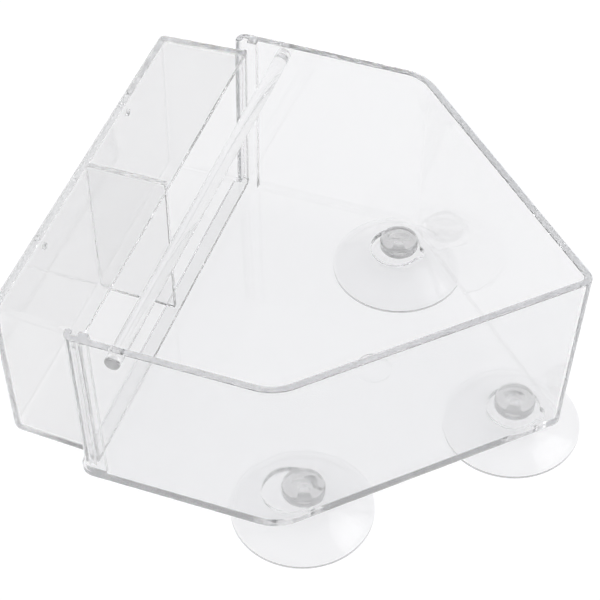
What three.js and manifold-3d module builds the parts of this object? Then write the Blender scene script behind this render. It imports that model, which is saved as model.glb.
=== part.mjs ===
// House-shaped window bird feeder in clear moulded plastic, in millimetres.
// It lies on its three suction cups: +Z points away from the window glass, +Y is up
// when it hangs, and X runs across the house. Each piece is built in a frame of its own
// and placed by its mesh position.

import * as THREE from 'three';
import { mergeVertices } from 'three/addons/utils/BufferGeometryUtils.js';
import Module from 'manifold-3d';

const wasm = await Module();
wasm.setup();

// Housing: one moulding with a back panel, two side walls and a gabled roof. Heights
// are counted from the eave corner, where a side wall would meet the roof unrounded.
const houseWidth = 150;
const houseDepth = 69.3;
const houseWall = 2.5;
const backPanel = 2.5;
const sideHeight = 67.8;
const roofRise = 77.2;
const eaveRadius = 16;
const ridgeRadius = 4;
const ridgeInnerRadius = 0.9;
const draftLean = 2.5; // how far each wall leans in between the front rim and the back face
const panelLip = 1.8; // what the back panel stands out below the side walls
const panelCornerRadius = 4.8;

// Rails along the lower ends of the side walls. The wall curls in under a slot.
const railReach = 4.5; // from the wall's outer face to the rail's tip
const hookThickness = 2.4;
const slotHeight = 1.9;
const ribHeight = 3.5;
const stopHeight = 2.2; // web that closes the slot at the back panel

// Keyholes for the suction cups: a round hole to put the head in, a slot to hang on.
const keyholeDiameter = 17.6;
const slotWidth = 5.6;
const slotLength = 7.7; // hole centre to the centre of the slot's round end
const keyholeFromSide = 18.4; // hole centre to the side wall's outer face, at the front
const keyholeFromRoof = 15.1; // the same to the roof's outer face, square to it

// Shallow round recess that the mould's ejector pin leaves on the panel's inner face.
const ejectorDiameter = 11.2;
const ejectorDepth = 0.3;
const ejectorBelowRidge = 70;

// Perch: a clear rod right across the front, held in one hole in each side wall.
const perchDiameter = 5;
const perchAboveTray = 11.9; // the rod's centre above the tray's rim
const perchBehindRim = 5;
const perchOverhang = 0.8; // past each side wall's outer face
const perchBevel = 0.4;
const perchClearance = 0.3;

// Tray: two open compartments, hung by side flanges in the rails.
const trayWall = 1.8;
const trayDepth = 32;
const trayRimAboveSlot = 0.45;
const trayBehindRim = 2.8;
const trayEndLean = 1.2; // how far each end wall leans in between rim and floor
const trayFaceLean = 0.5; // the same for the front and back walls
const trayCornerRadius = 1.2;
const trayBackEdgeRadius = 2.4;
const trayFrontEdgeRadius = 1.2;
const trayInnerRadius = 0.5; // the least radius inside the compartments
const dividerThickness = 2;
const dividerDrop = 1.7; // the divider's top edge below the tray's rim
const drainDiameter = 2;
const drainBehindFront = 7.5;
const drainFromMiddle = 34.2;
const trayEndClearance = 0.4;
const railClearance = 0.3;

// Suction cup: one soft moulding with a hollow bell, a neck and a button head.
const cupDiameter = 46.8;
const cupLipWidth = 1.2;
const cupLipThickness = 0.9;
const bellHollow = 5.2;
const shoulderLap = 0.4; // the bell's flat top reaches past the keyhole and carries the panel
const glassToPanel = 8; // from the glass, or the rim of the cup, to the back panel
const neckDiameter = 4.9;
const headDiameter = 13.5;
const headHeight = 4.2;
const headRounding = 1.1;
const dimpleDiameter = 7.6;
const dimpleDepth = 1.3;
const cupClearance = 0.3;

// How far each cup has been slid up its keyhole from the centre of the round hole.
const rightCupSlide = 4.5;
const leftCupSlide = 1.2;
const topCupSlide = 0.2;

// Facets and the overrun of cutting tools.
const arcSteps = 6;
const cupSteps = 4;
const roundSteps = 36;
const overrun = 1;

const halfWidth = houseWidth / 2;
const roofPitch = Math.atan2(roofRise, halfWidth);
// The point as far from the roof as from the side walls: walls that shrink towards it
// all lean in alike.
const draftCentre = roofRise - halfWidth / Math.cos(roofPitch);
const hookTop = -sideHeight + hookThickness;
const slotTop = hookTop + slotHeight;
const ribTop = slotTop + ribHeight;
const railTip = halfWidth - railReach;
const innerHalf = halfWidth - houseWall;
const trayRim = slotTop + trayRimAboveSlot;
const trayBack = backPanel + stopHeight + railClearance;
const trayLength = houseDepth - trayBehindRim - trayBack;
const trayHalf = railTip - trayEndClearance;
const perchHeight = trayRim + perchAboveTray;
const sideKeyholeX = halfWidth - keyholeFromSide;
const sideKeyholeHeight = keyholeHeight(sideKeyholeX);
const topKeyholeHeight = keyholeHeight(0);

// The origin lies under the middle of the whole feeder, whose highest point is the upper
// edge of the top cup or the ridge of the roof.
const ridgeTop = roofRise - ridgeRadius * (1 / Math.cos(roofPitch) - 1);
const topCupEdge = topKeyholeHeight + topCupSlide + cupDiameter / 2;
const trayFloorBottom = trayRim - trayDepth;
const eaveY = -(Math.max(ridgeTop, topCupEdge) + trayFloorBottom) / 2;

// Every keyhole is as far from the roof's outer face as the others.
function keyholeHeight(x) {
  return roofRise - x * Math.tan(roofPitch) - keyholeFromRoof / Math.cos(roofPitch);
}

function solid(geometry) {
  const bare = geometry.clone();
  bare.deleteAttribute('normal');
  bare.deleteAttribute('uv');
  const merged = mergeVertices(bare);
  return new wasm.Manifold(new wasm.Mesh({
    numProp: 3,
    vertProperties: new Float32Array(merged.attributes.position.array),
    triVerts: new Uint32Array(merged.index.array),
  }));
}

function geometryOf(manifold) {
  const mesh = manifold.getMesh();
  const geometry = new THREE.BufferGeometry();
  geometry.setAttribute('position', new THREE.BufferAttribute(mesh.vertProperties, 3));
  geometry.setIndex(new THREE.BufferAttribute(mesh.triVerts, 1));
  const flat = geometry.toNonIndexed();
  flat.computeVertexNormals();
  return flat;
}

function prism(shape, fromZ, toZ) {
  const geometry = new THREE.ExtrudeGeometry(shape, {
    depth: toZ - fromZ,
    bevelEnabled: false,
    curveSegments: arcSteps,
  });
  return geometry.translate(0, 0, fromZ);
}

function rod(radius, length, x, y, z) {
  return new THREE.CylinderGeometry(radius, radius, length, roundSteps).translate(x, y, z);
}

function moveVertices(geometry, move) {
  const position = geometry.attributes.position;
  const point = new THREE.Vector3();
  for (let i = 0; i < position.count; i += 1) {
    point.fromBufferAttribute(position, i);
    move(point);
    position.setXYZ(i, point.x, point.y, point.z);
  }
  return geometry;
}

// Draft of the housing: everything is full size at the front rim and shrinks towards
// the back. Below the draft centre the heights stay, so the rails run square.
function leanIn(point) {
  const share = (houseDepth - point.z) / houseDepth;
  const scale = 1 - (draftLean * share) / halfWidth;
  point.x *= scale;
  if (point.y > draftCentre) {
    point.y = draftCentre + (point.y - draftCentre) * scale;
  }
}

// A rounded corner in an outline that runs from one point past a corner to the next.
function roundCorner(path, from, corner, to, radius) {
  const before = from.clone().sub(corner).normalize();
  const after = to.clone().sub(corner).normalize();
  const half = before.angleTo(after) / 2;
  const reach = radius / Math.tan(half);
  const centre = before.clone().add(after).normalize().multiplyScalar(radius / Math.sin(half));
  centre.add(corner);
  const start = corner.clone().addScaledVector(before, reach);
  const end = corner.clone().addScaledVector(after, reach);
  const startAngle = Math.atan2(start.y - centre.y, start.x - centre.x);
  const endAngle = Math.atan2(end.y - centre.y, end.x - centre.x);
  const clockwise = before.x * after.y - before.y * after.x > 0;
  path.absarc(centre.x, centre.y, radius, startAngle, endAngle, clockwise);
}

// The gable between two side walls, at an inset from the housing's outer face.
function gablePoints(inset) {
  const side = halfWidth - inset;
  const eave = -inset * Math.tan(roofPitch / 2);
  const ridge = roofRise - inset / Math.cos(roofPitch);
  return {
    rightEave: new THREE.Vector2(side, eave),
    ridge: new THREE.Vector2(0, ridge),
    leftEave: new THREE.Vector2(-side, eave),
    eaveRadius: eaveRadius - inset,
    ridgeRadius: Math.max(ridgeRadius - inset, ridgeInnerRadius),
  };
}

function gable(path, inset, rightFoot, leftFoot) {
  const corner = gablePoints(inset);
  roundCorner(path, rightFoot, corner.rightEave, corner.ridge, corner.eaveRadius);
  roundCorner(path, corner.rightEave, corner.ridge, corner.leftEave, corner.ridgeRadius);
  roundCorner(path, corner.ridge, corner.leftEave, leftFoot, corner.eaveRadius);
}

// Section of the walls: the outer face from curl to curl, then back along the inside
// through both rails.
function wallSection() {
  const shape = new THREE.Shape();
  shape.moveTo(railTip, -sideHeight);
  shape.absarc(halfWidth - railReach, -sideHeight + railReach, railReach, -Math.PI / 2, 0);
  const rightFoot = new THREE.Vector2(halfWidth, -sideHeight);
  const leftFoot = new THREE.Vector2(-halfWidth, -sideHeight);
  gable(shape, 0, rightFoot, leftFoot);
  shape.absarc(railReach - halfWidth, -sideHeight + railReach, railReach, Math.PI, Math.PI * 1.5);
  shape.lineTo(-railTip, hookTop);
  shape.lineTo(-innerHalf, hookTop);
  shape.lineTo(-innerHalf, slotTop);
  shape.lineTo(-railTip, slotTop);
  shape.lineTo(-railTip, ribTop);
  shape.lineTo(-innerHalf, ribTop);
  const inner = gablePoints(houseWall);
  const innerRight = new THREE.Vector2(innerHalf, ribTop);
  const innerLeft = new THREE.Vector2(-innerHalf, ribTop);
  roundCorner(shape, innerLeft, inner.leftEave, inner.ridge, inner.eaveRadius);
  roundCorner(shape, inner.leftEave, inner.ridge, inner.rightEave, inner.ridgeRadius);
  roundCorner(shape, inner.ridge, inner.rightEave, innerRight, inner.eaveRadius);
  shape.lineTo(innerHalf, ribTop);
  shape.lineTo(railTip, ribTop);
  shape.lineTo(railTip, slotTop);
  shape.lineTo(innerHalf, slotTop);
  shape.lineTo(innerHalf, hookTop);
  shape.lineTo(railTip, hookTop);
  shape.closePath();
  return shape;
}

function panelOutline() {
  const bottom = -sideHeight - panelLip;
  const rightFoot = new THREE.Vector2(halfWidth, bottom);
  const leftFoot = new THREE.Vector2(-halfWidth, bottom);
  const corner = gablePoints(0);
  const shape = new THREE.Shape();
  shape.moveTo(0, bottom);
  roundCorner(shape, leftFoot, rightFoot, corner.rightEave, panelCornerRadius);
  gable(shape, 0, rightFoot, leftFoot);
  roundCorner(shape, corner.leftEave, leftFoot, rightFoot, panelCornerRadius);
  shape.closePath();
  return shape;
}

// A cutter for one keyhole through the back panel: the round hole and its slot.
function keyholeCutter(x, y) {
  const slotHalf = slotWidth / 2;
  const hole = rod(keyholeDiameter / 2, backPanel + overrun * 2, 0, backPanel / 2, 0);
  hole.rotateX(Math.PI / 2).translate(x, y, 0);
  const slot = new THREE.Shape();
  slot.moveTo(x - slotHalf, y);
  slot.lineTo(x + slotHalf, y);
  slot.absarc(x, y + slotLength, slotHalf, 0, Math.PI);
  slot.closePath();
  return solid(hole).add(solid(prism(slot, -overrun, backPanel + overrun)));
}

function rectangle(left, bottom, right, top) {
  const shape = new THREE.Shape();
  shape.moveTo(left, bottom);
  shape.lineTo(right, bottom);
  shape.lineTo(right, top);
  shape.lineTo(left, top);
  shape.closePath();
  return shape;
}

function makeHousing() {
  let body = solid(moveVertices(prism(wallSection(), 0, houseDepth), leanIn));
  body = body.add(solid(moveVertices(prism(panelOutline(), 0, backPanel), leanIn)));
  for (const side of [-1, 1]) {
    const tip = side * railTip;
    const root = side * (innerHalf + houseWall / 2);
    const web = rectangle(Math.min(tip, root), hookTop - hookThickness / 2,
      Math.max(tip, root), slotTop + ribHeight / 2);
    const stop = prism(web, backPanel / 2, backPanel + stopHeight);
    body = body.add(solid(moveVertices(stop, leanIn)));
  }
  const keyholes = [
    [sideKeyholeX, sideKeyholeHeight],
    [-sideKeyholeX, sideKeyholeHeight],
    [0, topKeyholeHeight],
  ];
  for (const [x, y] of keyholes) {
    body = body.subtract(keyholeCutter(x, y));
  }
  const mark = rod(ejectorDiameter / 2, ejectorDepth * 2, 0, 0, 0);
  mark.rotateX(Math.PI / 2).translate(0, roofRise - ejectorBelowRidge, backPanel);
  body = body.subtract(solid(mark));
  const bore = rod(perchDiameter / 2 + perchClearance, houseWidth + overrun * 2, 0, 0, 0);
  bore.rotateZ(Math.PI / 2).translate(0, perchHeight, houseDepth - perchBehindRim);
  return geometryOf(body.subtract(solid(bore)));
}

function makePerch() {
  const radius = perchDiameter / 2;
  const half = halfWidth + perchOverhang;
  const profile = [
    new THREE.Vector2(0, -half),
    new THREE.Vector2(radius - perchBevel, -half),
    new THREE.Vector2(radius, -half + perchBevel),
    new THREE.Vector2(radius, half - perchBevel),
    new THREE.Vector2(radius - perchBevel, half),
    new THREE.Vector2(0, half),
  ];
  return new THREE.LatheGeometry(profile, roundSteps);
}

// A block with its top at y = 0, rounded both round its upright corners, as seen from
// above, and along its lower edges, as seen from the end.
function traySpace(left, right, back, front, top, bottom, corner, backEdge, frontEdge) {
  const plan = new THREE.Shape();
  const planCorners = [
    new THREE.Vector2(left, back),
    new THREE.Vector2(right, back),
    new THREE.Vector2(right, front),
    new THREE.Vector2(left, front),
  ];
  planCorners.forEach((point, i) => {
    roundCorner(plan, planCorners[(i + 3) % 4], point, planCorners[(i + 1) % 4], corner);
  });
  plan.closePath();
  const upright = prism(plan, -top, -bottom).rotateX(Math.PI / 2);
  const end = new THREE.Shape();
  const backFoot = new THREE.Vector2(back, bottom);
  const frontFoot = new THREE.Vector2(front, bottom);
  end.moveTo(front, top);
  end.lineTo(back, top);
  roundCorner(end, new THREE.Vector2(back, top), backFoot, frontFoot, backEdge);
  roundCorner(end, backFoot, frontFoot, new THREE.Vector2(front, top), frontEdge);
  end.closePath();
  const along = prism(end, 0, right - left).rotateY(-Math.PI / 2).translate(right, 0, 0);
  return solid(upright).intersect(solid(along));
}

// Draft of the tray: the ends lean in towards the floor, and towards the back as the
// housing's walls do; the front and back walls lean in towards the floor.
function leanTray(point) {
  const depthShare = -point.y / trayDepth;
  const backShare = (trayLength - point.z) / houseDepth;
  point.x *= 1 - (trayEndLean * depthShare + draftLean * backShare) / trayHalf;
  const middle = trayLength / 2;
  point.z = middle + (point.z - middle) * (1 - (trayFaceLean * depthShare) / middle);
}

function makeTray() {
  let body = traySpace(-trayHalf, trayHalf, 0, trayLength, 0, -trayDepth,
    trayCornerRadius, trayBackEdgeRadius, trayFrontEdgeRadius);
  const flangeThickness = slotHeight - railClearance * 2;
  const flangeTop = -trayRimAboveSlot - railClearance;
  const flangeHalf = innerHalf - railClearance;
  for (const side of [-1, 1]) {
    const root = side * (trayHalf - trayWall / 2);
    const tip = side * flangeHalf;
    const strip = rectangle(Math.min(root, tip), flangeTop - flangeThickness,
      Math.max(root, tip), flangeTop);
    body = body.add(solid(prism(strip, 0, trayLength)));
  }
  const innerCorner = Math.max(trayCornerRadius - trayWall, trayInnerRadius);
  const innerBackEdge = Math.max(trayBackEdgeRadius - trayWall, trayInnerRadius);
  const innerFrontEdge = Math.max(trayFrontEdgeRadius - trayWall, trayInnerRadius);
  for (const side of [-1, 1]) {
    const near = side * dividerThickness / 2;
    const far = side * (trayHalf - trayWall);
    body = body.subtract(traySpace(Math.min(near, far), Math.max(near, far),
      trayWall, trayLength - trayWall, overrun, trayWall - trayDepth, innerCorner,
      innerBackEdge, innerFrontEdge));
    const drain = rod(drainDiameter / 2, (trayWall + overrun) * 2, side * drainFromMiddle,
      -trayDepth, trayLength - drainBehindFront);
    body = body.subtract(solid(drain));
  }
  const cutHalf = dividerThickness;
  const notch = rectangle(-cutHalf, -dividerDrop, cutHalf, overrun);
  body = body.subtract(solid(prism(notch, trayWall, trayLength - trayWall)));
  return moveVertices(geometryOf(body), leanTray);
}

function makeCup() {
  const radius = cupDiameter / 2;
  const neck = neckDiameter / 2;
  const head = headDiameter / 2;
  const neckBottom = glassToPanel - cupClearance;
  const headBottom = glassToPanel + backPanel + cupClearance;
  const headTop = headBottom + headHeight;
  const lipInner = radius - cupLipWidth;
  const dimple = dimpleDiameter / 2;
  const shoulder = keyholeDiameter / 2 + shoulderLap;
  const profile = new THREE.Path();
  profile.moveTo(0, bellHollow);
  profile.quadraticCurveTo(lipInner / 2, bellHollow, lipInner, 0);
  profile.lineTo(radius, 0);
  profile.lineTo(radius, cupLipThickness);
  profile.quadraticCurveTo(radius / 2, bellHollow, shoulder, neckBottom);
  profile.lineTo(neck, neckBottom);
  profile.lineTo(neck, headBottom);
  profile.lineTo(head - headRounding, headBottom);
  profile.quadraticCurveTo(head, headBottom, head, headBottom + headRounding);
  profile.lineTo(head, headTop - headRounding);
  profile.quadraticCurveTo(head, headTop, head - headRounding, headTop);
  profile.lineTo(dimple, headTop);
  profile.quadraticCurveTo(dimple / 2, headTop - dimpleDepth, 0, headTop - dimpleDepth);
  const points = profile.getPoints(cupSteps);
  return new THREE.LatheGeometry(points, roundSteps).rotateX(Math.PI / 2);
}

function piece(name, geometry, x, y, z, look) {
  const mesh = new THREE.Mesh(geometry, new THREE.MeshStandardMaterial(look));
  mesh.name = name;
  mesh.position.set(x, y, z);
  return mesh;
}

const clearPlastic = {
  color: 0xeef2f3, roughness: 0.08, metalness: 0, transparent: true, opacity: 0.35,
};
const softPlastic = {
  color: 0xe6eaec, roughness: 0.25, metalness: 0, transparent: true, opacity: 0.5,
};

const feeder = new THREE.Group();
const house = new THREE.Group();
house.position.set(0, eaveY, glassToPanel);
house.add(piece('housing', makeHousing(), 0, 0, 0, clearPlastic));
house.add(piece('tray', makeTray(), 0, trayRim, trayBack, clearPlastic));
const perch = piece('perch_rod', makePerch(), 0, perchHeight, houseDepth - perchBehindRim,
  clearPlastic);
perch.rotation.z = Math.PI / 2;
house.add(perch);
feeder.add(house);

const cups = [
  ['suction_cup_right', sideKeyholeX, sideKeyholeHeight + rightCupSlide],
  ['suction_cup_left', -sideKeyholeX, sideKeyholeHeight + leftCupSlide],
  ['suction_cup_top', 0, topKeyholeHeight + topCupSlide],
];
for (const [name, x, y] of cups) {
  feeder.add(piece(name, makeCup(), x, eaveY + y, 0, softPlastic));
}

export default feeder;
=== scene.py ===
# Clear window bird feeder in the shape of a house. It lies on its back on its three
# suction cups, so its open front faces up. The feeder's sizes are in millimetres, which
# MM turns into metres. The studio's sizes are in metres.

import math

import bmesh
import bpy
from mathutils import Matrix, Quaternion, Vector


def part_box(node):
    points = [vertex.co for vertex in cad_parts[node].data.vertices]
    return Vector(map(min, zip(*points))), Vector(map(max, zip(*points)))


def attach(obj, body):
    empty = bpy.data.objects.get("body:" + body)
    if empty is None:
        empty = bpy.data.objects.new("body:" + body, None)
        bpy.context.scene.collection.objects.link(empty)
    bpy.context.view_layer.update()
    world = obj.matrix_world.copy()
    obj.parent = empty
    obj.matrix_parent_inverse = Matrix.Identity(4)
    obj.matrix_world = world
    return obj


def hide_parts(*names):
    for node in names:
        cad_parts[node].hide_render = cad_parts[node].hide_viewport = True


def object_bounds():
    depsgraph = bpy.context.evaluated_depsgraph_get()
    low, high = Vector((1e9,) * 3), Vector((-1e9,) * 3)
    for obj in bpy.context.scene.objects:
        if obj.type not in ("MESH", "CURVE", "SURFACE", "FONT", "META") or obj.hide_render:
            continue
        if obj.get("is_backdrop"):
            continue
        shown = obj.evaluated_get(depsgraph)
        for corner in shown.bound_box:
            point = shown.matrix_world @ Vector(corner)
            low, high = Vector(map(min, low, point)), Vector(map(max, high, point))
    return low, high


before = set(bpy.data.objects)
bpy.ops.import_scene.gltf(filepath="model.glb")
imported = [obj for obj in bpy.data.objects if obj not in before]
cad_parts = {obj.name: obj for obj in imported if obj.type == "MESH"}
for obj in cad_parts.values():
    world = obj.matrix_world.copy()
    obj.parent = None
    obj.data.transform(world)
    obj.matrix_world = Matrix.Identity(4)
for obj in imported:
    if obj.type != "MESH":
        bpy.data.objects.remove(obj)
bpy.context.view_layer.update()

MM = 0.001

# Camera: a long lens above the feeder's right side. It looks down past the near eave
# at the open front, the tray's end and the outside of the roof.
camera_target = Vector((-22.7, -19.2, 8.0)) * MM
camera_distance = 653.2 * MM
camera_azimuth = math.radians(109.74)
camera_elevation = math.radians(47.45)
camera_roll = math.radians(-0.32)
camera_lens = 111.42
camera_sensor = 36
nearest_seen = 10 * MM
farthest_seen = 20
camera_back = Vector((
    math.sin(camera_azimuth) * math.cos(camera_elevation),
    -math.cos(camera_azimuth) * math.cos(camera_elevation),
    math.sin(camera_elevation),
))
camera = bpy.data.objects.new("camera", bpy.data.cameras.new("camera"))
bpy.context.scene.collection.objects.link(camera)
camera.data.sensor_width = camera_sensor
camera.data.lens = camera_lens
camera.data.clip_start = nearest_seen
camera.data.clip_end = farthest_seen
camera.location = camera_target + camera_back * camera_distance
camera.rotation_mode = "QUATERNION"
camera.rotation_quaternion = (
    (-camera_back).to_track_quat("-Z", "Y") @ Quaternion((0, 0, 1), camera_roll)
)
bpy.context.scene.camera = camera
bpy.context.scene.view_settings.view_transform = "Standard"

# Studio: a white table under a bright tent that is greyer overhead, so that the clear
# walls pick up grey lines. Light passes through many thin walls one after another.
sky_white = (1.0, 1.0, 1.0, 1)
sky_grey = (0.75, 0.75, 0.76, 1)
grey_starts = 0.15
grey_is_full = 0.75
sky_fill = 0.93
lamp_size = 0.5
lamp_watts = 0.9
lamp_place = Vector((-0.35, 0.55, 0.9))
light_paths = 48

world = bpy.data.worlds.new("tent")
bpy.context.scene.world = world
world.use_nodes = True
nodes = world.node_tree.nodes
links = world.node_tree.links
nodes.clear()
direction = nodes.new("ShaderNodeTexCoord")
split = nodes.new("ShaderNodeSeparateXYZ")
height = nodes.new("ShaderNodeMapRange")
height.interpolation_type = "SMOOTHSTEP"
height.inputs["From Min"].default_value = grey_starts
height.inputs["From Max"].default_value = grey_is_full
tent = nodes.new("ShaderNodeMix")
tent.data_type = "RGBA"
tent.inputs["A"].default_value = sky_white
tent.inputs["B"].default_value = sky_grey
ray = nodes.new("ShaderNodeLightPath")
seen = nodes.new("ShaderNodeBackground")
fill = nodes.new("ShaderNodeBackground")
fill.inputs["Color"].default_value = sky_white
fill.inputs["Strength"].default_value = sky_fill
clean = nodes.new("ShaderNodeBackground")
clean.inputs["Color"].default_value = sky_white
indirect = nodes.new("ShaderNodeMixShader")
final = nodes.new("ShaderNodeMixShader")
output = nodes.new("ShaderNodeOutputWorld")
links.new(direction.outputs["Generated"], split.inputs[0])
links.new(split.outputs["Z"], height.inputs["Value"])
links.new(height.outputs["Result"], tent.inputs["Factor"])
links.new(tent.outputs["Result"], seen.inputs["Color"])
links.new(ray.outputs["Is Diffuse Ray"], indirect.inputs["Fac"])
links.new(seen.outputs[0], indirect.inputs[1])
links.new(fill.outputs[0], indirect.inputs[2])
links.new(ray.outputs["Is Camera Ray"], final.inputs["Fac"])
links.new(indirect.outputs[0], final.inputs[1])
links.new(clean.outputs[0], final.inputs[2])
links.new(final.outputs[0], output.inputs["Surface"])

lamp = bpy.data.objects.new("lamp", bpy.data.lights.new("lamp", "AREA"))
bpy.context.scene.collection.objects.link(lamp)
lamp.data.size = lamp_size
lamp.data.energy = lamp_watts
lamp.location = lamp_place
lamp.rotation_euler = (-lamp_place).to_track_quat("-Z", "Y").to_euler()

cycles = bpy.context.scene.cycles
cycles.max_bounces = light_paths
cycles.transmission_bounces = light_paths
cycles.glossy_bounces = light_paths
cycles.transparent_max_bounces = light_paths * 2

# Table: one wide white sheet under the cups. The camera sees it as white, with a little of
# the feeder's shadow left on it. Through the clear walls and in reflections its glow is a
# little weaker: painted shade for the feeder's shadow.
table_half = 3.0
table_white = (0.85, 0.85, 0.85, 1)
table_shade = (0.42, 0.42, 0.43, 1)
table_glow = 0.64
table_glow_behind_plastic = 0.555

sheet = bpy.data.meshes.new("table")
sheet.from_pydata(
    [(-table_half, -table_half, 0), (table_half, -table_half, 0),
     (table_half, table_half, 0), (-table_half, table_half, 0)],
    [], [(0, 1, 2, 3)],
)
table = bpy.data.objects.new("table", sheet)
bpy.context.scene.collection.objects.link(table)
table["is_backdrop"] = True
paper = bpy.data.materials.new("white paper")
paper.use_nodes = True
nodes = paper.node_tree.nodes
links = paper.node_tree.links
nodes.clear()
ray = nodes.new("ShaderNodeLightPath")
plain = nodes.new("ShaderNodeBsdfDiffuse")
plain.inputs["Color"].default_value = table_white
shade = nodes.new("ShaderNodeBsdfDiffuse")
shade.inputs["Color"].default_value = table_shade
glow = nodes.new("ShaderNodeEmission")
bright = nodes.new("ShaderNodeAddShader")
glossy_or_through = nodes.new("ShaderNodeMath")
glossy_or_through.operation = "MAXIMUM"
# Painted shade: the glow drops for rays that reach the table in reflections or through
# plastic.
strength = nodes.new("ShaderNodeMath")
strength.operation = "MULTIPLY_ADD"
strength.inputs[1].default_value = table_glow_behind_plastic - table_glow
strength.inputs[2].default_value = table_glow
looked_at = nodes.new("ShaderNodeMath")
looked_at.operation = "MAXIMUM"
choice = nodes.new("ShaderNodeMixShader")
output = nodes.new("ShaderNodeOutputMaterial")
links.new(ray.outputs["Is Glossy Ray"], glossy_or_through.inputs[0])
links.new(ray.outputs["Is Transmission Ray"], glossy_or_through.inputs[1])
links.new(ray.outputs["Is Camera Ray"], looked_at.inputs[0])
links.new(glossy_or_through.outputs[0], looked_at.inputs[1])
links.new(glossy_or_through.outputs[0], strength.inputs[0])
links.new(strength.outputs[0], glow.inputs["Strength"])
links.new(shade.outputs[0], bright.inputs[0])
links.new(glow.outputs[0], bright.inputs[1])
links.new(looked_at.outputs[0], choice.inputs["Fac"])
links.new(plain.outputs[0], choice.inputs[1])
links.new(bright.outputs[0], choice.inputs[2])
links.new(choice.outputs[0], output.inputs["Surface"])
sheet.materials.append(paper)

# Housing: one injection moulding in clear acrylic. Every wall leans in towards the back
# so that it leaves the mould, and the side walls end in rolled rails for the tray.
housing_low, housing_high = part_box("housing")
half_width = housing_high.x / MM
house_depth = (housing_high.z - housing_low.z) / MM
panel_height = housing_low.z / MM
roof_rise = 77.2
side_height = 67.8
house_wall = 2.5
back_panel = 2.5
eave_radius = 16.0
ridge_radius = 4.0
ridge_inner_radius = 0.9
draft_lean = 2.5
panel_lip = 1.8
panel_corner = 4.8
rail_reach = 4.5
rail_tip_round = 0.5
hook_tip_round = 1.15
hook_thickness = 2.4
slot_height = 1.9
rib_height = 3.5
stop_height = 2.2
stop_set_back = 0.1
keyhole_radius = 8.8
keyhole_slot_half = 2.8
keyhole_length = 7.7
keyhole_from_side = 18.4
keyhole_from_roof = 15.1
ejector_radius = 5.6
ejector_depth = 0.3
ejector_below_ridge = 70.0
perch_above_tray = 11.9
tray_rim_above_slot = 0.45
perch_behind_rim = 5.0
perch_hole_radius = 2.54
corner_step = math.radians(6)
edge_round = 0.35
edge_segments = 3
rim_steps = 4
hole_steps = 48
slot_steps = 16
bore_steps = 40
overrun = 1.0
hair = 0.001
sharp_angle = math.radians(28)
crease_angle = math.radians(30)

# The roof moves in as far as the side walls do when it shrinks about the draft centre.
roof_pitch = math.atan2(roof_rise, half_width)
draft_centre = roof_rise - half_width / math.cos(roof_pitch)
hook_top = -side_height + hook_thickness
slot_top = hook_top + slot_height
rib_top = slot_top + rib_height
rail_tip = half_width - rail_reach
inner_half = half_width - house_wall
tray_rim = slot_top + tray_rim_above_slot
perch_height = tray_rim + perch_above_tray
ridge_top = roof_rise - ridge_radius * (1 / math.cos(roof_pitch) - 1)
eave_y = housing_high.y / MM - ridge_top
house_place = (
    Matrix.Translation(Vector((0, eave_y, panel_height)) * MM) @ Matrix.Scale(MM, 4)
)


def keyhole_height(x):
    """Height above the eaves of a keyhole that lies this far from the middle."""
    below_ridge = x * math.tan(roof_pitch) + keyhole_from_roof / math.cos(roof_pitch)
    return roof_rise - below_ridge


def outline(corners):
    """A closed outline of (x, y, radius) corners, with each corner rounded."""
    points = []
    for i, (x, y, radius) in enumerate(corners):
        corner = Vector((x, y))
        if radius == 0:
            points.append(corner)
            continue
        before = (Vector(corners[i - 1][:2]) - corner).normalized()
        after = (Vector(corners[(i + 1) % len(corners)][:2]) - corner).normalized()
        half = before.angle(after) / 2
        centre = corner + (before + after).normalized() * radius / math.sin(half)
        start = corner + before * radius / math.tan(half) - centre
        turn = math.pi - 2 * half
        if before.x * after.y - before.y * after.x > 0:
            turn = -turn
        steps = max(2, math.ceil(abs(turn) / corner_step))
        for k in range(steps + 1):
            points.append(centre + Matrix.Rotation(turn * k / steps, 2) @ start)
    return points


def arc(x, y, radius, start, end, steps):
    """Points along part of a circle."""
    angles = [start + (end - start) * k / steps for k in range(steps + 1)]
    return [
        Vector((x + radius * math.cos(a), y + radius * math.sin(a))) for a in angles
    ]


def circle(x, y, radius, steps):
    """Points round a full circle."""
    return arc(x, y, radius, 0, math.tau, steps)[:-1]


def oblong(left, right, low, high):
    """The four corners of a rectangle."""
    return [Vector(corner) for corner in (
        (left, low), (right, low), (right, high), (left, high)
    )]


def grown(points, distance):
    """A closed outline moved out by a distance, corner by corner."""
    moved = []
    for i, point in enumerate(points):
        before = (point - points[i - 1]).normalized()
        after = (points[(i + 1) % len(points)] - point).normalized()
        out = Vector((before.y + after.y, -before.x - after.x)).normalized()
        moved.append(point + out * distance / out.dot(Vector((after.y, -after.x))))
    return moved


def add_stack(bm, levels, floor=True, lid=True):
    """Adds a skin over (outline, height) levels, from the lowest to the highest."""
    rings = [[bm.verts.new((p.x, p.y, z)) for p in points] for points, z in levels]
    if floor:
        bm.faces.new(reversed(rings[0]))
    if lid:
        bm.faces.new(rings[-1])
    for lower, upper in zip(rings, rings[1:]):
        for i in range(len(lower)):
            bm.faces.new((lower[i - 1], lower[i], upper[i], upper[i - 1]))


def new_piece(name, bm):
    """An object that holds the given mesh."""
    bmesh.ops.recalc_face_normals(bm, faces=bm.faces)
    mesh = bpy.data.meshes.new(name)
    bm.to_mesh(mesh)
    bm.free()
    piece = bpy.data.objects.new(name, mesh)
    bpy.context.scene.collection.objects.link(piece)
    return piece


def block(name, points, low, high, turn=Matrix.Identity(4)):
    """An outline carried from one height to another, as a closed block."""
    bm = bmesh.new()
    add_stack(bm, [(points, low), (points, high)])
    bmesh.ops.transform(bm, matrix=turn, verts=bm.verts)
    return new_piece(name, bm)


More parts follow.
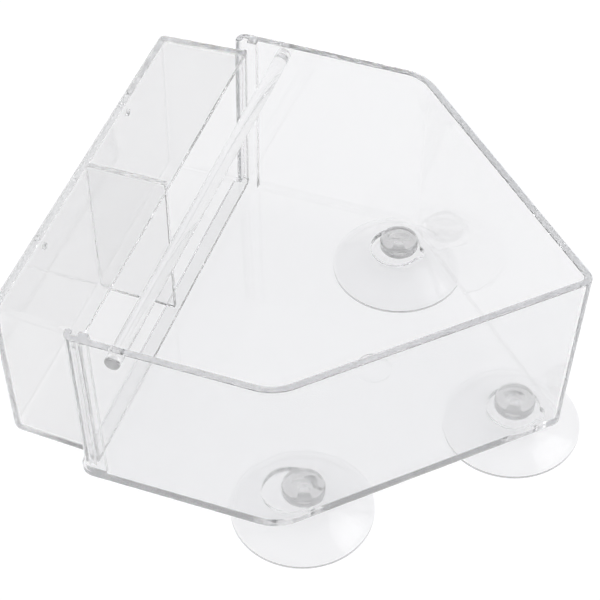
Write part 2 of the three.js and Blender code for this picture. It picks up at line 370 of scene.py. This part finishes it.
def plate_cutter(name, points, low, high, radius):
    """A tool that cuts an outline through a plate and rounds the edges it leaves."""
    quarter = [math.pi / 2 * (1 - k / rim_steps) for k in range(rim_steps + 1)]
    rim = [(grown(points, radius * (1 - math.cos(a))), radius * (1 - math.sin(a)))
           for a in quarter]
    mouth = grown(points, radius)
    bm = bmesh.new()
    add_stack(
        bm,
        [(mouth, low - overrun)]
        + [(plan, low + inset) for plan, inset in rim]
        + [(plan, high - inset) for plan, inset in reversed(rim)]
        + [(mouth, high + overrun)],
    )
    return new_piece(name, bm)


def settle(piece):
    """Fixes what the piece's modifiers do into its mesh."""
    depsgraph = bpy.context.evaluated_depsgraph_get()
    mesh = bpy.data.meshes.new_from_object(piece.evaluated_get(depsgraph))
    piece.modifiers.clear()
    piece.data = mesh


def combine(piece, tool, operation):
    """Joins the tool to the piece or cuts it out, and removes the tool."""
    change = piece.modifiers.new("cut", "BOOLEAN")
    change.operation = operation
    change.solver = "EXACT"
    change.object = tool
    settle(piece)
    bpy.data.objects.remove(tool)


def lean_in(piece):
    """Draft of the housing: its walls shrink towards the back panel."""
    for vertex in piece.data.vertices:
        share = (house_depth - vertex.co.z) / house_depth
        scale = 1 - draft_lean * share / half_width
        vertex.co.x *= scale
        if vertex.co.y > draft_centre:
            vertex.co.y = draft_centre + (vertex.co.y - draft_centre) * scale


def round_edges(piece, radius, keep):
    """Rounds the piece's sharp edges, apart from those to keep."""
    bm = bmesh.new()
    bm.from_mesh(piece.data)
    weight = bm.edges.layers.float.new("bevel_weight_edge")
    for edge in bm.edges:
        sharp = edge.calc_face_angle(0) > sharp_angle
        edge[weight] = 1.0 if sharp and not keep(edge) else 0.0
    bm.to_mesh(piece.data)
    bm.free()
    edges = piece.modifiers.new("edges", "BEVEL")
    edges.width = radius
    edges.segments = edge_segments
    edges.limit_method = "WEIGHT"
    edges.use_clamp_overlap = False
    settle(piece)


def finish(piece, place):
    """Puts the piece in its place and shades it smoothly, flat faces flat."""
    piece.data.transform(place)
    for face in piece.data.polygons:
        face.use_smooth = True
    piece.data.set_sharp_from_angle(angle=crease_angle)
    shading = piece.modifiers.new("shading", "WEIGHTED_NORMAL")
    shading.keep_sharp = True
    settle(piece)


def gable(inset):
    """Corners of the roof at an inset from the outer face, from right to left."""
    side = half_width - inset
    eave = -inset * math.tan(roof_pitch / 2)
    ridge = roof_rise - inset / math.cos(roof_pitch)
    inner_ridge = max(ridge_radius - inset, ridge_inner_radius)
    return [(side, eave, eave_radius - inset), (0, ridge, inner_ridge),
            (-side, eave, eave_radius - inset)]


def mirrored(corners):
    """The same corners on the left side."""
    return [(-x, y, radius) for x, y, radius in reversed(corners)]


# The walls' section. At the foot of each side wall a rib, the slot for the tray's flange
# and the curled hook follow each other.
rails = [
    (inner_half, rib_top, 0),
    (rail_tip, rib_top, rail_tip_round),
    (rail_tip, slot_top, rail_tip_round),
    (inner_half, slot_top, 0),
    (inner_half, hook_top, 0),
    (rail_tip, hook_top, hook_tip_round),
    (rail_tip, -side_height, hook_tip_round),
]
curl = [(half_width, -side_height, rail_reach - hook_tip_round)]
wall_section = outline(
    rails + curl + gable(0) + mirrored(curl) + mirrored(rails) + gable(house_wall)[::-1]
)
# The back panel has the walls' outline, and a lip below the hooks.
panel_foot = [(half_width, -side_height - panel_lip, panel_corner)]
curl_end = [(half_width, -side_height + rail_reach - hook_tip_round, 0)]
panel_shape = outline(
    panel_foot + curl_end + gable(0) + mirrored(curl_end) + mirrored(panel_foot)
)
bm = bmesh.new()
add_stack(bm, [(panel_shape, 0), (panel_shape, back_panel)], lid=False)
add_stack(bm, [(wall_section, back_panel), (wall_section, house_depth)], floor=False)
bmesh.ops.remove_doubles(bm, verts=bm.verts, dist=hair)
bmesh.ops.edgeloop_fill(bm, edges=[edge for edge in bm.edges if edge.is_boundary])
housing = new_piece("clear_housing", bm)
lean_in(housing)
# The edges in the panel's face, where the walls stand on it, stay sharp.
round_edges(housing, edge_round, keep=lambda edge: all(
    abs(vertex.co.z - back_panel) < hair for vertex in edge.verts
))
# A low web across the back of each slot stops the tray.
for side in (-1, 1):
    web = oblong(
        side * (rail_tip + stop_set_back), side * (inner_half + house_wall / 2),
        hook_top - hook_thickness / 2, slot_top + rib_height / 2,
    )
    stop = block("stop", web, back_panel / 2, back_panel + stop_height)
    lean_in(stop)
    combine(housing, stop, "UNION")
# Each keyhole is a round hole and the rounded end of a short slot. The two circles meet
# this far above the middle of the hole.
meet = (
    keyhole_length ** 2 + keyhole_radius ** 2 - keyhole_slot_half ** 2
) / keyhole_length / 2
hole_start = math.asin(meet / keyhole_radius)
slot_start = math.asin((meet - keyhole_length) / keyhole_slot_half)
for x in (half_width - keyhole_from_side, keyhole_from_side - half_width, 0):
    y = keyhole_height(abs(x))
    hole = arc(x, y, keyhole_radius, math.pi - hole_start, math.tau + hole_start,
               hole_steps)
    slot = arc(x, y + keyhole_length, keyhole_slot_half, slot_start,
               math.pi - slot_start, slot_steps)
    cutter = plate_cutter("keyhole", hole + slot[1:-1], 0, back_panel, edge_round)
    combine(housing, cutter, "DIFFERENCE")
# The ejector pin left a shallow round mark, and one bore takes the perch.
pin = circle(0, roof_rise - ejector_below_ridge, ejector_radius, hole_steps)
mark = block("mark", pin, back_panel - ejector_depth, back_panel + overrun)
combine(housing, mark, "DIFFERENCE")
perch_line = (
    Matrix.Translation((0, perch_height, house_depth - perch_behind_rim))
    @ Matrix.Rotation(math.pi / 2, 4, "Y")
)
bore = block("bore", circle(0, 0, perch_hole_radius, bore_steps),
             -half_width - overrun, half_width + overrun, perch_line)
combine(housing, bore, "DIFFERENCE")
finish(housing, house_place)
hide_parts("housing")
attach(housing, "housing")

# Moulded plastic is never quite flat: the melt leaves broad, faint waves, and handling
# leaves a fine uneven haze on the gloss.
wave_detail = 1
haze_detail = 4
clearest_haze = 0.35
thickest_haze = 0.65
moulded = bpy.data.node_groups.new("moulded surface", "ShaderNodeTree")
for name in ("Wave Scale", "Haze Scale", "Least Roughness", "Most Roughness"):
    moulded.interface.new_socket(name, in_out="INPUT", socket_type="NodeSocketFloat")
for name in ("Height", "Roughness"):
    moulded.interface.new_socket(name, in_out="OUTPUT", socket_type="NodeSocketFloat")
given = moulded.nodes.new("NodeGroupInput")
result = moulded.nodes.new("NodeGroupOutput")
place = moulded.nodes.new("ShaderNodeTexCoord")
waves = moulded.nodes.new("ShaderNodeTexNoise")
waves.inputs["Detail"].default_value = wave_detail
haze = moulded.nodes.new("ShaderNodeTexNoise")
haze.inputs["Detail"].default_value = haze_detail
spread = moulded.nodes.new("ShaderNodeMapRange")
spread.inputs["From Min"].default_value = clearest_haze
spread.inputs["From Max"].default_value = thickest_haze
moulded.links.new(place.outputs["Object"], waves.inputs["Vector"])
moulded.links.new(place.outputs["Object"], haze.inputs["Vector"])
moulded.links.new(given.outputs["Wave Scale"], waves.inputs["Scale"])
moulded.links.new(given.outputs["Haze Scale"], haze.inputs["Scale"])
moulded.links.new(haze.outputs["Fac"], spread.inputs["Value"])
moulded.links.new(given.outputs["Least Roughness"], spread.inputs["To Min"])
moulded.links.new(given.outputs["Most Roughness"], spread.inputs["To Max"])
moulded.links.new(waves.outputs["Fac"], result.inputs["Height"])
moulded.links.new(spread.outputs["Result"], result.inputs["Roughness"])

# Painted shade: the colour changes at a line that lies this far from zero along the piece,
# and the darker side stands in for shade.
painted_shade_group = bpy.data.node_groups.new("painted shade at a line", "ShaderNodeTree")
for name, kind in (("Place", "Float"), ("Line", "Float"), ("Before", "Color"),
                   ("Past", "Color")):
    painted_shade_group.interface.new_socket(name, in_out="INPUT", socket_type="NodeSocket" + kind)
painted_shade_group.interface.new_socket("Colour", in_out="OUTPUT", socket_type="NodeSocketColor")
given = painted_shade_group.nodes.new("NodeGroupInput")
result = painted_shade_group.nodes.new("NodeGroupOutput")
away = painted_shade_group.nodes.new("ShaderNodeMath")
away.operation = "ABSOLUTE"
past = painted_shade_group.nodes.new("ShaderNodeMath")
past.operation = "GREATER_THAN"
shade = painted_shade_group.nodes.new("ShaderNodeMix")
shade.data_type = "RGBA"
painted_shade_group.links.new(given.outputs["Place"], away.inputs[0])
painted_shade_group.links.new(away.outputs[0], past.inputs[0])
painted_shade_group.links.new(given.outputs["Line"], past.inputs[1])
painted_shade_group.links.new(past.outputs[0], shade.inputs["Factor"])
painted_shade_group.links.new(given.outputs["Before"], shade.inputs["A"])
painted_shade_group.links.new(given.outputs["Past"], shade.inputs["B"])
painted_shade_group.links.new(shade.outputs["Result"], result.inputs["Colour"])


def paint_shade_at_line(material, axis, line, before, past, into):
    """Paints shade into a socket of the material: one tint up to a line along the piece's
    own X, Y or Z, and another past it."""
    nodes = material.node_tree.nodes
    links = material.node_tree.links
    place = nodes.new("ShaderNodeTexCoord")
    split = nodes.new("ShaderNodeSeparateXYZ")
    tint = nodes.new("ShaderNodeGroup")
    tint.node_tree = painted_shade_group
    tint.inputs["Line"].default_value = line * MM
    tint.inputs["Before"].default_value = before
    tint.inputs["Past"].default_value = past
    links.new(place.outputs["Object"], split.inputs[0])
    links.new(split.outputs[axis], tint.inputs["Place"])
    links.new(tint.outputs["Colour"], into)


def clear_plastic(name, tint, clarity, refraction, absorbed, density, surface,
                  wave_depth):
    """Clear plastic. Light that only crosses it to light or shade something goes
    straight through, and long ways inside the walls turn grey."""
    material = bpy.data.materials.new(name)
    material.use_nodes = True
    nodes = material.node_tree.nodes
    links = material.node_tree.links
    body = nodes["Principled BSDF"]
    body.inputs["Base Color"].default_value = tint
    body.inputs["IOR"].default_value = refraction
    body.inputs["Transmission Weight"].default_value = clarity
    skin = nodes.new("ShaderNodeGroup")
    skin.node_tree = moulded
    for socket, value in surface.items():
        skin.inputs[socket].default_value = value
    bump = nodes.new("ShaderNodeBump")
    bump.inputs["Distance"].default_value = wave_depth * MM
    depth = nodes.new("ShaderNodeVolumeAbsorption")
    depth.inputs["Color"].default_value = absorbed
    depth.inputs["Density"].default_value = density
    ray = nodes.new("ShaderNodeLightPath")
    lighting = nodes.new("ShaderNodeMath")
    lighting.operation = "MAXIMUM"
    passing = nodes.new("ShaderNodeBsdfTransparent")
    passing.inputs["Color"].default_value = tint
    either = nodes.new("ShaderNodeMixShader")
    output = nodes["Material Output"]
    links.new(skin.outputs["Height"], bump.inputs["Height"])
    links.new(bump.outputs["Normal"], body.inputs["Normal"])
    links.new(skin.outputs["Roughness"], body.inputs["Roughness"])
    links.new(ray.outputs["Is Shadow Ray"], lighting.inputs[0])
    links.new(ray.outputs["Is Diffuse Ray"], lighting.inputs[1])
    links.new(lighting.outputs[0], either.inputs["Fac"])
    links.new(body.outputs[0], either.inputs[1])
    links.new(passing.outputs[0], either.inputs[2])
    links.new(either.outputs[0], output.inputs["Surface"])
    links.new(depth.outputs[0], output.inputs["Volume"])
    return material


wall_tint = (0.97, 0.971, 0.974, 1)
rim_painted_shade = (0.78, 0.78, 0.79, 1)
housing_plastic = clear_plastic(
    "clear moulded acrylic", tint=wall_tint, clarity=0.975, refraction=1.49,
    absorbed=(0.75, 0.76, 0.77, 1), density=8, wave_depth=0.05,
    surface={"Wave Scale": 45, "Haze Scale": 160, "Least Roughness": 0.03,
             "Most Roughness": 0.09},
)
# Painted shade: the front rim is coloured darker than the walls.
paint_shade_at_line(housing_plastic, "Z", panel_height + house_depth - edge_round / 2,
          wall_tint, rim_painted_shade,
          housing_plastic.node_tree.nodes["Principled BSDF"].inputs["Base Color"])
housing.data.materials.clear()
housing.data.materials.append(housing_plastic)

# Tray: a deep seed box of two compartments, moulded in clear plastic in one shot. It
# slides out to the front on thin flanges that run in the slots of the housing's rails.
tray_wall = 1.8
tray_floor = 2.5
tray_depth = 32.0
tray_behind_rim = 2.8
tray_end_lean = 1.2
tray_face_lean = 0.5
tray_corner = 1.2
tray_end_edge = 2.4
tray_back_edge = 3.2
tray_front_edge = 1.4
space_corner = 1.3
space_end_edge = 0.9
space_back_edge = 1.4
space_front_edge = 0.6
divider_half = 1.0
divider_drop = 1.7
drain_radius = 1.0
drain_behind_front = 7.5
drain_from_middle = 34.2
drain_steps = 24
rail_clearance = 0.3
tray_end_clearance = 0.4
flange_end = 1.8
tray_round = 0.35
bottom_edge_steps = 8
tray_tint = (0.955, 0.955, 0.956, 1)

tray_back = back_panel + stop_height + rail_clearance
tray_length = house_depth - tray_behind_rim - tray_back
tray_half = rail_tip - tray_end_clearance


def tub(name, left, right, back, front, top, bottom, corner, edges):
    """A box with rounded upright corners and rounded bottom edges (left, right, back,
    front)."""
    rise = [max(edges) * (1 - math.sin(math.pi / 2 * k / bottom_edge_steps))
            for k in range(bottom_edge_steps + 1)]
    levels = []
    for height in [top - bottom] + rise:
        left_in, right_in, back_in, front_in = [
            radius - math.sqrt(radius ** 2 - max(0, radius - height) ** 2)
            for radius in edges
        ]
        plan = outline([
            (left + left_in, back + back_in, corner),
            (right - right_in, back + back_in, corner),
            (right - right_in, front - front_in, corner),
            (left + left_in, front - front_in, corner),
        ])
        levels.append((plan, -bottom - height))
    bm = bmesh.new()
    add_stack(bm, levels)
    bmesh.ops.transform(bm, matrix=Matrix.Rotation(math.pi / 2, 4, "X"), verts=bm.verts)
    return new_piece(name, bm)


tray = tub("clear_tray", -tray_half, tray_half, 0, tray_length, 0, -tray_depth,
           tray_corner, (tray_end_edge, tray_end_edge, tray_back_edge, tray_front_edge))
# The flanges join on first. Then come the hollow, the divider across it and the drains.
flange_top = -tray_rim_above_slot - rail_clearance
flange_bottom = flange_top - slot_height + 2 * rail_clearance
for side in (-1, 1):
    strip = oblong(side * (tray_half - tray_wall / 2),
                   side * (inner_half - rail_clearance), flange_bottom, flange_top)
    flange = block("flange", strip, flange_end, tray_length - flange_end)
    combine(tray, flange, "UNION")
inside = tray_half - tray_wall
space = tub("space", -inside, inside, tray_wall, tray_length - tray_wall, overrun,
            tray_floor - tray_depth, space_corner,
            (space_end_edge, space_end_edge, space_back_edge, space_front_edge))
combine(tray, space, "DIFFERENCE")
wall = oblong(-divider_half, divider_half, -tray_depth + tray_floor / 2, -divider_drop)
divider = block("divider", wall, tray_wall / 2, tray_length - tray_wall / 2)
combine(tray, divider, "UNION")
for side in (-1, 1):
    drain_line = (
        Matrix.Translation((side * drain_from_middle, -tray_depth,
                            tray_length - drain_behind_front))
        @ Matrix.Rotation(-math.pi / 2, 4, "X")
    )
    drain = block("drain", circle(0, 0, drain_radius, drain_steps),
                  -overrun, 2 * tray_floor, drain_line)
    combine(tray, drain, "DIFFERENCE")
# The walls lean in towards the floor, and the ends also follow the housing's draft.
middle = tray_length / 2
for vertex in tray.data.vertices:
    low_share = -vertex.co.y / tray_depth
    slimmer = 1 - tray_face_lean * low_share / middle
    vertex.co.z = middle + (vertex.co.z - middle) * slimmer
    back_share = (tray_length - vertex.co.z) / house_depth
    vertex.co.x *= 1 - (tray_end_lean * low_share + draft_lean * back_share) / tray_half
round_edges(tray, tray_round, keep=lambda edge: not edge.is_convex)
finish(tray, house_place @ Matrix.Translation((0, tray_rim, tray_back)))
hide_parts("tray")
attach(tray, "tray")
tray_plastic = clear_plastic(
    "clear moulded tray plastic", tint=tray_tint, clarity=0.98, refraction=1.49,
    absorbed=(0.75, 0.76, 0.77, 1), density=6, wave_depth=0.03,
    surface={"Wave Scale": 35, "Haze Scale": 160, "Least Roughness": 0.02,
             "Most Roughness": 0.08},
)
tray.data.materials.clear()
tray.data.materials.append(tray_plastic)

# Perch rod: a plain length of clear acrylic rod with its end edges eased. It is pressed
# through a hole in each side wall and stands a little proud of both.
perch_radius = 2.5
perch_overhang = 0.8
perch_bevel = 0.5
perch_bevel_steps = 6
perch_turns = 64
rod_tint = (0.985, 0.985, 0.987, 1)
rod_end_painted_shade = (0.62, 0.62, 0.62, 1)


def lathe(name, profile, turns):
    """A turned piece: a profile of (radius, height) points round the Z axis."""
    bm = bmesh.new()
    rings = []
    for radius, z in profile:
        if radius == 0:
            rings.append([bm.verts.new((0, 0, z))])
        else:
            rings.append([
                bm.verts.new((radius * math.cos(math.tau * k / turns),
                              radius * math.sin(math.tau * k / turns), z))
                for k in range(turns)
            ])
    for lower, upper in zip(rings, rings[1:]):
        for k in range(turns):
            corners = [lower[k % len(lower)], lower[(k + 1) % len(lower)],
                       upper[(k + 1) % len(upper)], upper[k % len(upper)]]
            corners = list(dict.fromkeys(corners))
            if len(corners) > 2:
                bm.faces.new(corners)
    piece = new_piece(name, bm)
    for face in piece.data.polygons:
        face.use_smooth = True
    return piece


perch_half = half_width + perch_overhang
end_round = arc(perch_radius - perch_bevel, perch_half - perch_bevel, perch_bevel,
                math.pi / 2, 0, perch_bevel_steps)
rod_profile = [(0, perch_half)] + [(p.x, p.y) for p in end_round]
rod_profile += [(x, -y) for x, y in reversed(rod_profile)]
perch = lathe("clear_perch", rod_profile, perch_turns)
perch.data.transform(house_place @ perch_line)
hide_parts("perch_rod")
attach(perch, "housing")
perch_plastic = clear_plastic(
    "clear acrylic rod", tint=rod_tint, clarity=0.98, refraction=1.49,
    absorbed=(0.75, 0.76, 0.77, 1), density=6, wave_depth=0.01,
    surface={"Wave Scale": 30, "Haze Scale": 200, "Least Roughness": 0.18,
             "Most Roughness": 0.24},
)
# Painted shade: the ends are coloured greyer than the length between them.
paint_shade_at_line(perch_plastic, "X", perch_half - perch_bevel, rod_tint, rod_end_painted_shade,
          perch_plastic.node_tree.nodes["Principled BSDF"].inputs["Base Color"])
perch.data.materials.append(perch_plastic)

# Suction cups: each is one soft clear moulding, a thin hollow bell with a shoulder, a
# neck and a button head. The head is pushed through a keyhole, and the neck sits in its
# slot.
cup_radius = 23.4
cup_lip_width = 1.2
cup_lip_thickness = 0.9
bell_hollow = 5.2
shoulder_lap = 0.4
neck_radius = 2.45
head_radius = 6.75
head_height = 4.2
head_round = 1.1
dimple_radius = 3.8
dimple_depth = 1.3
gate_radius = 0.5
gate_bottom_radius = 0.4
gate_depth = 0.4
smooth_tint = (0.995, 0.995, 0.997, 1)
# Painted shade on the head, the upright sides and the rim.
head_painted_shade = (0.85, 0.85, 0.85, 1)
side_painted_shade = (0.84, 0.84, 0.84, 1)
lip_painted_shade = (0.38, 0.38, 0.38, 1)
upright_slope = 0.3
flat_slope = 0.5
cup_clearance = 0.3
cup_turns = 96
curve_steps = 14
cup_crease_angle = math.radians(40)


def bend(start, control, end):
    """Points along a curve from start to end that heads for the control point."""
    points = []
    for k in range(curve_steps + 1):
        t = k / curve_steps
        points.append(tuple(
            (1 - t) ** 2 * a + 2 * t * (1 - t) * b + t * t * c
            for a, b, c in zip(start, control, end)
        ))
    return points


# Half of the cup's section: hollow, lip, bell, shoulder, neck, head, dimple and the pit
# that the gate left.
neck_bottom = panel_height - cup_clearance
head_bottom = panel_height + back_panel + cup_clearance
head_top = head_bottom + head_height
lip_inner = cup_radius - cup_lip_width
cup_profile = (
    bend((0, bell_hollow), (lip_inner / 2, bell_hollow), (lip_inner, 0))
    + [(cup_radius, 0)]
    + bend((cup_radius, cup_lip_thickness), (cup_radius / 2, bell_hollow),
           (keyhole_radius + shoulder_lap, neck_bottom))
    + [(neck_radius, neck_bottom), (neck_radius, head_bottom)]
    + bend((head_radius - head_round, head_bottom), (head_radius, head_bottom),
           (head_radius, head_bottom + head_round))
    + bend((head_radius, head_top - head_round), (head_radius, head_top),
           (head_radius - head_round, head_top))
    + bend((dimple_radius, head_top), (dimple_radius / 2, head_top - dimple_depth),
           (gate_radius, head_top - dimple_depth))
    + [(gate_bottom_radius, head_top - dimple_depth - gate_depth),
       (0, head_top - dimple_depth - gate_depth)]
)
soft_plastic = clear_plastic(
    "soft clear plastic", tint=smooth_tint, clarity=0.99, refraction=1.5,
    absorbed=(0.5, 0.5, 0.51, 1), density=40, wave_depth=0.04,
    surface={"Wave Scale": 90, "Haze Scale": 300, "Least Roughness": 0.08,
             "Most Roughness": 0.16},
)
# Painted shade: the rim is coloured darker and greyer than the rest, and so are the thick
# head and, by how steep they are, the upright sides a little.
nodes = soft_plastic.node_tree.nodes
links = soft_plastic.node_tree.links
direction = nodes.new("ShaderNodeTexCoord")
facing = nodes.new("ShaderNodeSeparateXYZ")
slope = nodes.new("ShaderNodeMath")
slope.operation = "ABSOLUTE"
level = nodes.new("ShaderNodeMapRange")
level.inputs["From Min"].default_value = upright_slope
level.inputs["From Max"].default_value = flat_slope
shade = nodes.new("ShaderNodeMix")
shade.data_type = "RGBA"
links.new(direction.outputs["Normal"], facing.inputs[0])
links.new(facing.outputs["Z"], slope.inputs[0])
links.new(slope.outputs[0], level.inputs["Value"])
links.new(level.outputs["Result"], shade.inputs["Factor"])
links.new(shade.outputs["Result"], nodes["Principled BSDF"].inputs["Base Color"])
paint_shade_at_line(soft_plastic, "Z", 2 * cup_lip_thickness, lip_painted_shade, side_painted_shade,
          shade.inputs["A"])
paint_shade_at_line(soft_plastic, "Z", head_bottom - cup_clearance, smooth_tint, head_painted_shade,
          shade.inputs["B"])
for name in ("right", "left", "top"):
    node = "suction_cup_" + name
    low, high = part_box(node)
    cup = lathe("clear_cup_" + name, cup_profile, cup_turns)
    centre = (low + high) / 2
    cup.data.transform(
        Matrix.Translation((centre.x, centre.y, low.z)) @ Matrix.Scale(MM, 4)
    )
    cup.data.set_sharp_from_angle(angle=cup_crease_angle)
    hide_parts(node)
    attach(cup, {"right": "cup_right", "left": "cup_left", "top": "cup_top"}[name])
    cup.data.materials.append(soft_plastic)

low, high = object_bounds()
